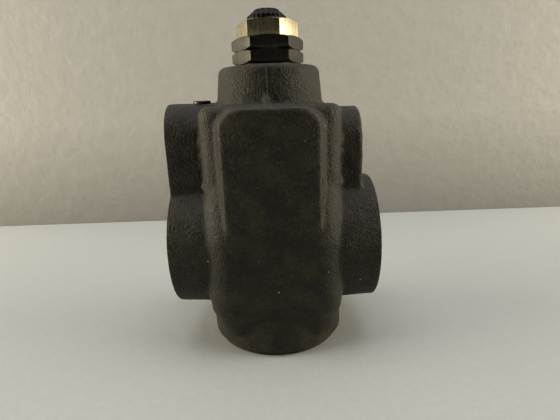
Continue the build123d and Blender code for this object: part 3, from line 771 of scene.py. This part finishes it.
SAND = sand_grain_group()
SCRATCHES = scratch_group()
DUST = dust_group()
print("shared effects:", SAND.name, SCRATCHES.name, DUST.name)

# %% [markdown]
# Every material starts alike: coordinates in millimetres, a Principled shader and a bump that feeds
# its normal. Values that are the same all over are set on the shader itself.

# %% Start a material
def new_finish(name, bump_mm=0.05, **constants):
    """A material with its tree, shader, coordinates in millimetres and bump node."""
    material = bpy.data.materials.new(name)
    material.use_nodes = True
    tree = material.node_tree
    shader = tree.nodes["Principled BSDF"]
    for key, value in constants.items():
        shader.inputs[key.replace("_", " ")].default_value = value
    place = add(tree, "TexCoord")
    scale = add(tree, "Mapping", inputs={"Scale": (1 / MM, 1 / MM, 1 / MM)})
    wire(tree, place.outputs["Object"], scale.inputs["Vector"])
    bump = add(tree, "Bump", inputs={"Strength": 1.0, "Distance": bump_mm * MM})
    wire(tree, bump.outputs["Normal"], shader.inputs["Normal"])
    return material, tree, shader, scale.outputs["Vector"], bump.inputs["Height"]


# %% [markdown]
# ### The cast skin
# Cast iron that has been dipped in a dark phosphate bath and oiled is a brownish black. Ridges are
# rubbed a little lighter, hollows hold black oil, and the pads pick up pale specks and scratches.

# %% Cast skin
def cast_skin():
    material, tree, shader, vector, height = new_finish("cast_skin", bump_mm=0.5, Specular_IOR_Level=0.22)
    sand = use_group(tree, SAND, Grain=1.15)
    wire(tree, vector, sand.inputs["Vector"])
    wire(tree, sand.outputs["Height"], height)
    base = ramp(tree, sand.outputs["Tone"],
                [(0.34, (0.005, 0.0045, 0.0034)), (0.62, (0.029, 0.025, 0.012)),
                 (0.5, (0.013, 0.011, 0.0072))])
    stain = add(tree, "TexNoise", inputs={"Scale": 0.045, "Detail": 3.0, "Distortion": 0.8})
    wire(tree, vector, stain.inputs["Vector"])
    rusty = ramp(tree, stain.outputs["Fac"], [(0.52, 0.0), (0.72, 0.5)])
    base = mix(tree, rusty, base, (0.017, 0.014, 0.009))
    edges = add(tree, "NewGeometry")
    worn = ramp(tree, edges.outputs["Pointiness"], [(0.50, 0.0), (0.60, 0.55)])
    base = mix(tree, worn, base, (0.085, 0.072, 0.040))
    marks = use_group(tree, SCRATCHES, Length=7.0, Amount=0.35)
    wire(tree, vector, marks.inputs["Vector"])
    base = mix(tree, marks.outputs["Mask"], base, (0.16, 0.15, 0.125))
    speck = add(tree, "TexVoronoi", inputs={"Scale": 0.16, "Randomness": 1.0})
    wire(tree, vector, speck.inputs["Vector"])
    dots = ramp(tree, speck.outputs["Distance"], [(0.05, 0.75), (0.08, 0.0)])
    few = add(tree, "TexNoise", inputs={"Scale": 0.05, "Detail": 0.0})
    wire(tree, vector, few.inputs["Vector"])
    dots = maths(tree, "MULTIPLY", dots, ramp(tree, few.outputs["Fac"], [(0.58, 0.0), (0.62, 1.0)]))
    base = mix(tree, dots, base, (0.34, 0.33, 0.31))
    dust = use_group(tree, DUST, Amount=0.28)
    wire(tree, vector, dust.inputs["Vector"])
    base = mix(tree, dust.outputs["Mask"], base, (0.13, 0.13, 0.125))
    wire(tree, base, shader.inputs["Base Color"])
    wire(tree, ramp(tree, sand.outputs["Tone"], [(0.3, 0.42), (0.7, 0.66)]), shader.inputs["Roughness"])
    return material


# %% [markdown]
# ### Cut iron
# Where the tool has been, the iron is grey and bright. Fine noise stands for the tool's marks and broad
# noise for handling.

# %% Machined iron
def machined_iron():
    material, tree, shader, vector, height = new_finish("machined_iron", bump_mm=0.02, Metallic=0.85)
    streak = add(tree, "TexNoise", inputs={"Scale": 4.0, "Detail": 3.0, "Roughness": 0.7})
    wire(tree, vector, streak.inputs["Vector"])
    broad = add(tree, "TexNoise", inputs={"Scale": 0.2, "Detail": 4.0})
    wire(tree, vector, broad.inputs["Vector"])
    wire(tree, streak.outputs["Fac"], height)
    base = ramp(tree, broad.outputs["Fac"], [(0.35, (0.10, 0.095, 0.088)), (0.7, (0.19, 0.182, 0.17))])
    wire(tree, base, shader.inputs["Base Color"])
    wire(tree, ramp(tree, streak.outputs["Fac"], [(0.3, 0.30), (0.7, 0.48)]), shader.inputs["Roughness"])
    return material


# %% [markdown]
# ### Bare and plated steels
# Turned and rolled steel carries fine lines along the way it was worked. One recipe makes them all:
# stretched noise for the lines, broad noise for handling, and each finish's own two colours.

# %% Steel finishes
def steel(name, dark, light, rough=(0.25, 0.42), stretch=(3.0, 3.0, 0.12), bump_mm=0.012,
          grime=(0.03, 0.028, 0.024)):
    material, tree, shader, vector, height = new_finish(name, bump_mm=bump_mm, Metallic=1.0)
    along = add(tree, "Mapping", inputs={"Scale": stretch})
    wire(tree, vector, along.inputs["Vector"])
    lines = add(tree, "TexNoise", inputs={"Scale": 1.0, "Detail": 4.0, "Roughness": 0.7})
    wire(tree, along.outputs["Vector"], lines.inputs["Vector"])
    broad = add(tree, "TexNoise", inputs={"Scale": 0.25, "Detail": 5.0, "Roughness": 0.6})
    wire(tree, vector, broad.inputs["Vector"])
    wire(tree, lines.outputs["Fac"], height)
    base = ramp(tree, lines.outputs["Fac"], [(0.3, dark), (0.7, light)])
    dirty = ramp(tree, broad.outputs["Fac"], [(0.5, 0.0), (0.78, 0.7)])
    base = mix(tree, dirty, base, grime)
    wire(tree, base, shader.inputs["Base Color"])
    uneven = maths(tree, "ADD", maths(tree, "MULTIPLY", lines.outputs["Fac"], 0.5),
                   maths(tree, "MULTIPLY", broad.outputs["Fac"], 0.5))
    wire(tree, ramp(tree, uneven, [(0.35, rough[0]), (0.65, rough[1])]), shader.inputs["Roughness"])
    return material


# %% [markdown]
# ### Rubber, nylon and the soft washers
# These don't shine like metal. Nylon from a mould has a faint orange peel, and rubber a dull bloom.

# %% Soft finishes
def moulded(name, dark, light, rough, grain, bump_mm=0.02, **constants):
    material, tree, shader, vector, height = new_finish(name, bump_mm=bump_mm, **constants)
    peel = add(tree, "TexNoise", inputs={"Scale": grain, "Detail": 3.0, "Roughness": 0.55})
    wire(tree, vector, peel.inputs["Vector"])
    wire(tree, peel.outputs["Fac"], height)
    bloom = add(tree, "TexNoise", inputs={"Scale": 0.4, "Detail": 4.0})
    wire(tree, vector, bloom.inputs["Vector"])
    base = ramp(tree, bloom.outputs["Fac"], [(0.35, dark), (0.7, light)])
    dust = use_group(tree, DUST, Amount=0.10)
    wire(tree, vector, dust.inputs["Vector"])
    base = mix(tree, dust.outputs["Mask"], base, (0.10, 0.097, 0.09))
    wire(tree, base, shader.inputs["Base Color"])
    dull = ramp(tree, peel.outputs["Fac"], [(0.3, rough[0]), (0.7, rough[1])])
    wire(tree, dull, shader.inputs["Roughness"])
    return material


CAST = cast_skin()
CUT = machined_iron()
BLACK_STEEL = steel("black_oxide_steel", (0.030, 0.028, 0.025), (0.085, 0.078, 0.066), (0.28, 0.46))
ZINC = steel("yellow_zinc", (0.40, 0.35, 0.22), (0.66, 0.59, 0.40), (0.20, 0.34), (2.2, 2.2, 0.05), 0.008,
             grime=(0.42, 0.33, 0.17))
BRIGHT = steel("ground_steel", (0.42, 0.42, 0.41), (0.66, 0.66, 0.65), (0.14, 0.28), (0.3, 0.3, 4.0))
SPRING = steel("spring_wire", (0.12, 0.115, 0.105), (0.24, 0.23, 0.21), (0.3, 0.5), (1.0, 1.0, 1.0))
COPPER = steel("annealed_copper", (0.50, 0.24, 0.13), (0.72, 0.40, 0.26), (0.3, 0.5), (1.5, 1.5, 1.5))
NYLON = moulded("moulded_nylon", (0.006, 0.006, 0.006), (0.014, 0.013, 0.012), (0.34, 0.6), 2.2,
                 Specular_IOR_Level=0.10)
NITRILE = moulded("nitrile_rubber", (0.012, 0.012, 0.012), (0.022, 0.022, 0.022), (0.5, 0.7), 3.5)
PTFE = moulded("ptfe", (0.66, 0.65, 0.61), (0.82, 0.81, 0.77), (0.35, 0.5), 1.5)
print("outside finishes:", *(finish.name for finish in (CAST, CUT, BLACK_STEEL, ZINC, NYLON)))

# %% [markdown]
# ## Give out the finishes
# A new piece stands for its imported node, rides on that node's body and names the slot of its finish.

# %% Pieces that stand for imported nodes
def stands_for(piece, node, body, material):
    piece.data.materials.clear()
    piece.data.materials.append(material)
    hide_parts(node)
    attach(piece, body)
    print(piece.name, "stands for", node, "on", body)


stands_for(casting, "valve_body", "body", CAST)
for node, nut in nuts.items():
    stands_for(nut, node, "body", BLACK_STEEL)
stands_for(washer, "neck_washer", "body", BLACK_STEEL)
stands_for(gallery, "gallery_plug", "body", BLACK_STEEL)
stands_for(inlet_plug, "inlet_gauge_plug", "body", BLACK_STEEL)
stands_for(outlet_plug, "outlet_gauge_plug", "body", BLACK_STEEL)
stands_for(foot, "bottom_plug", "body", BLACK_STEEL)
stands_for(head, "adjusting_screw", "adjuster", ZINC)
stands_for(cap, "adjuster_cap", "adjuster", NYLON)

# %% [markdown]
# The casting has two finishes. A face is machined where it lies on a port face, the foot, the neck's
# top or inside a bore, so its centre decides.

# %% Mark the machined faces
def is_machined(centre, normal):
    x, y, z = centre
    flat = (abs(x) > FACE_X - 0.02 or z < 0.02 or z > NECK_TOP - 0.02)
    in_port = hypot(y, z - PORT_Z) < 17.0 and hypot(x, y) > MAIN_BORE_R - 0.2
    in_gauge = hypot(y, z - GAUGE_Z) < 9.95 and abs(x) > 15
    in_bore = hypot(x, y) < 20.2 or (z < 2.6 and hypot(x, y) < 22.6)
    in_gallery = hypot(x - GALLERY_X, y) < 5.35
    return flat or in_port or in_gauge or in_bore or in_gallery


casting.data.materials.append(CUT)
for face in casting.data.polygons:
    face.material_index = int(is_machined(face.center / MM, face.normal))
print("machined faces:", sum(face.material_index for face in casting.data.polygons))

# %% [markdown]
# The inner pieces are ground steel, spring wire, rubber, PTFE and copper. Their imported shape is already
# right, so they keep it and only take a finish.

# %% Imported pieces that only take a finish
KEPT = {
    BRIGHT: ["spring_shim", "metering_sleeve", "compensator_spool", "damping_orifice", "throttle_spool",
             "spring_collar", "thrust_ball"],
    SPRING: ["retaining_ring", "compensator_spring", "collar_clip", "throttle_spring"],
    NITRILE: ["bottom_plug_seal", "sleeve_seal_lower", "sleeve_seal_upper", "screw_seal"],
    PTFE: ["screw_backup_ring"],
    COPPER: ["inlet_gauge_washer", "outlet_gauge_washer"],
}
for material, names in KEPT.items():
    for name in names:
        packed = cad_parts[name]
        packed.data.materials.clear()
        packed.data.materials.append(material)
print("packed pieces that took a finish:", sum(len(names) for names in KEPT.values()))

# %% [markdown]
# ## The studio
# The valve stands on a pale bench in front of a pale plaster wall. Both are plain. The wall's colour is
# painted darker at its foot, a painted shade where the light is blocked.

# %% Bench and wall
def plain_pale(name, colour, grain, bump_mm, painted_shade_mm=0):
    """A pale matt finish. With a height in millimetres, painted shade darkens it up to about that height.
    """
    material, tree, shader, vector, height = new_finish(name, bump_mm=bump_mm, Specular_IOR_Level=0.3)
    noise = add(tree, "TexNoise", inputs={"Scale": grain, "Detail": 5.0, "Roughness": 0.6})
    wire(tree, vector, noise.inputs["Vector"])
    wire(tree, noise.outputs["Fac"], height)
    darker = tuple(part * 0.94 for part in colour)
    base = ramp(tree, noise.outputs["Fac"], [(0.35, darker), (0.65, colour)])
    # Painted shade: the colour is darkened towards the bottom, up to the given height.
    if painted_shade_mm:
        height_of = add(tree, "SeparateXYZ")
        wire(tree, vector, height_of.inputs[0])
        painted_shade_share = maths(tree, "DIVIDE", height_of.outputs["Z"], painted_shade_mm, clamp=True)
        base = mix(tree, 1.0, base, ramp(tree, painted_shade_share, [(0.0, 0.55), (1.0, 1.0)]), "MULTIPLY")
    wire(tree, base, shader.inputs["Base Color"])
    wire(tree, ramp(tree, noise.outputs["Fac"], [(0.3, 0.55), (0.7, 0.7)]), shader.inputs["Roughness"])
    return material


WALL_Y = 214
bench = block("bench", (-1500, -900, -20), (1500, WALL_Y, 0))
bench.data.materials.append(plain_pale("pale_bench", (0.47, 0.48, 0.485), 0.3, 0.05))
wall = block("wall", (-1500, WALL_Y, -600), (1500, 240, 1500))
# The wall's last value, 110 mm, is the height of its painted shade.
wall.data.materials.append(plain_pale("pale_wall", (0.44, 0.425, 0.40), 0.08, 1.2, 110))
print("staged:", bench.name, wall.name)

# %% [markdown]
# Two large soft lights stand beside the valve and one hangs above, so its sides are light and the face
# towards us is dark. The room is dim behind us and lighter behind the valve.

# %% Lights
def soft_light(name, place, size, power, colour):
    """A square area light that faces the valve's middle."""
    start()
    bpy.ops.object.light_add(type="AREA", location=place)
    light = bpy.context.object
    light.name = name
    light.data.size = size
    light.data.energy = power
    light.data.color = colour
    aim = Vector((0, 0, 0.08)) - light.location
    light.rotation_euler = aim.to_track_quat("-Z", "Y").to_euler()
    return light


soft_light("left_softbox", (-0.95, -0.06, 0.28), 0.6, 13.0, (1.0, 0.92, 0.72))
soft_light("right_softbox", (0.95, -0.08, 0.28), 0.6, 11.0, (1.0, 0.92, 0.72))
soft_light("overhead", (0.0, 0.06, 0.95), 0.8, 5.5, (0.90, 0.96, 1.0))

world = scene.world or bpy.data.worlds.new("World")
scene.world = world
world.use_nodes = True
sky = world.node_tree
room = add(sky, "TexCoord")
towards = add(sky, "SeparateXYZ")
wire(sky, room.outputs["Generated"], towards.inputs[0])
depth = maths(sky, "ADD", maths(sky, "MULTIPLY", towards.outputs["Y"], 0.5), 0.5)
wire(sky, ramp(sky, depth, [(0.30, (0.022, 0.022, 0.023)), (0.80, (0.30, 0.32, 0.35))]),
     sky.nodes["Background"].inputs["Color"])
scene.view_settings.view_transform = "Standard"

# %% [markdown]
# ## The camera
# The camera is close, 0.2 m from the valve's axis, so the lens is wide. It looks down by 15.3 degrees
# from the height of the shoulder, and is rolled by 2 degrees.

# %% Camera
CAMERA_PLACE = (0.0032, -0.1978, 0.1203)
LOOK_DOWN = radians(15.3)
ROLL = radians(2.03)
camera_data = bpy.data.cameras.new("camera")
camera_data.sensor_width = 36.0
camera_data.lens = 24.43
camera_data.clip_start = 0.01
camera = bpy.data.objects.new("camera", camera_data)
scene.collection.objects.link(camera)
camera.location = CAMERA_PLACE
turn = Matrix.Rotation(pi / 2 - LOOK_DOWN, 4, "X") @ Matrix.Rotation(-ROLL, 4, "Z")
camera.rotation_euler = turn.to_euler()
scene.camera = camera
print("camera at", CAMERA_PLACE, "with a lens of", round(camera_data.lens, 2), "mm")
